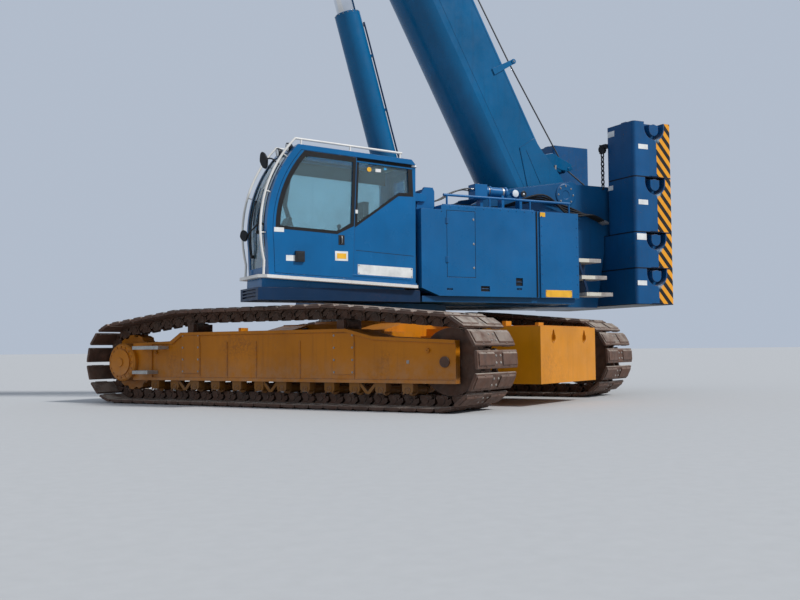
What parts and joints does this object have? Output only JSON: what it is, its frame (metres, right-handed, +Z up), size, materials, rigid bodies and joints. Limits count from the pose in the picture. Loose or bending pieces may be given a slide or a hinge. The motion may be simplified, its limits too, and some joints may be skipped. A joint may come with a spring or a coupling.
{
  "type": "telescopic crawler crane",
  "caption": "Crawler crane: two long tracks, slewing upperworks with tilting cab, stacked counterweight, telescopic boom on one luffing cylinder, and hook block.",
  "frame": {"origin": "ground point on the slewing axis", "axes": "+X forward along the upperworks, +Y to its left, +Z up; the tracks are turned 60 degrees under it"},
  "size_m": [9.2509, 8.9688, 14.3649],
  "materials": {
    "paint_blue": "semi-gloss, dusty",
    "paint_dark_blue": "semi-gloss, oily",
    "paint_yellow": "worn, rusty at edges",
    "paint_white": "satin",
    "track_steel": "rusty, dusty",
    "ring_steel": "greasy",
    "step_plate": "chequered, dull",
    "engine_iron": "oily",
    "drum_black": "matt, greasy",
    "tinted_glass": "tinted",
    "seat_fabric": "woven",
    "rod_chrome": "polished",
    "hook_paint": "worn"
  },
  "bodies": {
    "undercarriage": {"car_body": "paint_yellow", "slew_ring": "ring_steel", "side_frame_near": "paint_yellow", "side_frame_far": "paint_yellow", "track_near": "track_steel", "track_far": "track_steel", "track_drives": "paint_yellow", "idler_wheels": "track_steel", "track_rollers": "track_steel", "carrier_rollers": "track_steel", "carbody_ballast": "paint_yellow", "track_steps": "step_plate"},
    "upperworks": {"upper_frame": "paint_dark_blue", "house_left": "paint_blue", "house_right": "paint_blue", "engine_block": "engine_iron", "cab_base": "paint_dark_blue", "cab_bracket": "paint_blue", "deck_rails": "paint_blue", "deck_cylinder": "paint_blue", "side_steps": "step_plate", "weight_slab_low": "paint_blue", "weight_slab_high": "paint_blue", "weight_blocks_low": "paint_blue", "weight_blocks_high": "paint_blue"},
    "hoist": {"hoist_drum": "drum_black"},
    "cab": {"cab_frame": "paint_blue", "cab_glass": "tinted_glass", "cab_seat": "seat_fabric", "cab_guard": "paint_white"},
    "door": {"cab_door": "paint_blue", "cab_door_glass": "tinted_glass"},
    "boom": {"boom_base": "paint_blue"},
    "section_2": {"boom_section_2": "paint_blue"},
    "section_3": {"boom_section_3": "paint_blue"},
    "section_4": {"boom_section_4": "paint_blue"},
    "section_5": {"boom_section_5": "paint_blue"},
    "section_6": {"boom_section_6": "paint_blue", "head_sheaves": "drum_black"},
    "rod": {"cylinder_rod": "rod_chrome"},
    "barrel": {"cylinder_barrel": "paint_blue"},
    "hook": {"hook_block": "hook_paint"}
  },
  "joints": [
    {"name": "slew", "type": "hinge", "parent": "undercarriage", "child": "upperworks", "pos_m": [0, 0, 1.45], "axis": [0, 0, 1], "continuous": true},
    {"name": "hoist_turn", "type": "hinge", "parent": "upperworks", "child": "hoist", "pos_m": [-4.45, 0, 3.26], "axis": [0, 1, 0], "continuous": true},
    {"name": "cab_tilt", "type": "hinge", "parent": "upperworks", "child": "cab", "pos_m": [-0.05, 0, 3.12], "axis": [0, -1, 0], "range_deg": [-2.5, 17.5]},
    {"name": "door_slide", "type": "slide", "parent": "cab", "child": "door", "axis": [-0.999, 0, -0.0436], "range_m": [0, 0.78]},
    {"name": "boom_luff", "type": "hinge", "parent": "upperworks", "child": "boom", "pos_m": [-3.2, 0, 3.45], "axis": [0, -1, 0], "range_deg": [-61.5, 20.5]},
    {"name": "telescope_1", "type": "slide", "parent": "boom", "child": "section_2", "axis": [0.4772, 0, 0.8788], "range_m": [0, 9.5]},
    {"name": "telescope_2", "type": "slide", "parent": "section_2", "child": "section_3", "axis": [0.4772, 0, 0.8788], "range_m": [0, 9.5]},
    {"name": "telescope_3", "type": "slide", "parent": "section_3", "child": "section_4", "axis": [0.4772, 0, 0.8788], "range_m": [0, 9.5]},
    {"name": "telescope_4", "type": "slide", "parent": "section_4", "child": "section_5", "axis": [0.4772, 0, 0.8788], "range_m": [0, 9.5]},
    {"name": "telescope_5", "type": "slide", "parent": "section_5", "child": "section_6", "axis": [0.4772, 0, 0.8788], "range_m": [0, 9.5]},
    {"name": "rod_swing", "type": "hinge", "parent": "boom", "child": "rod", "pos_m": [1.43185, 0, 9.21442], "axis": [0, -1, 0], "range_deg": [-12.4, 4.2]},
    {"name": "barrel_travel", "type": "slide", "parent": "rod", "child": "barrel", "axis": [-0.2711, 0, -0.9626], "range_m": [-2.6348, 0.8816]},
    {"name": "hook_hang", "type": "hinge", "parent": "section_6", "child": "hook", "pos_m": [3.79771, 0, 13.76043], "axis": [0, 1, 0], "range_deg": [-61.5, 20.5]}
  ],
  "couplings": [
    {"joint": "rod_swing", "follows": "boom_luff", "ratio": 0.2},
    {"joint": "barrel_travel", "follows": "boom_luff", "m_per_rad": 2.45},
    {"joint": "hook_hang", "follows": "boom_luff", "ratio": 1}
  ]
}
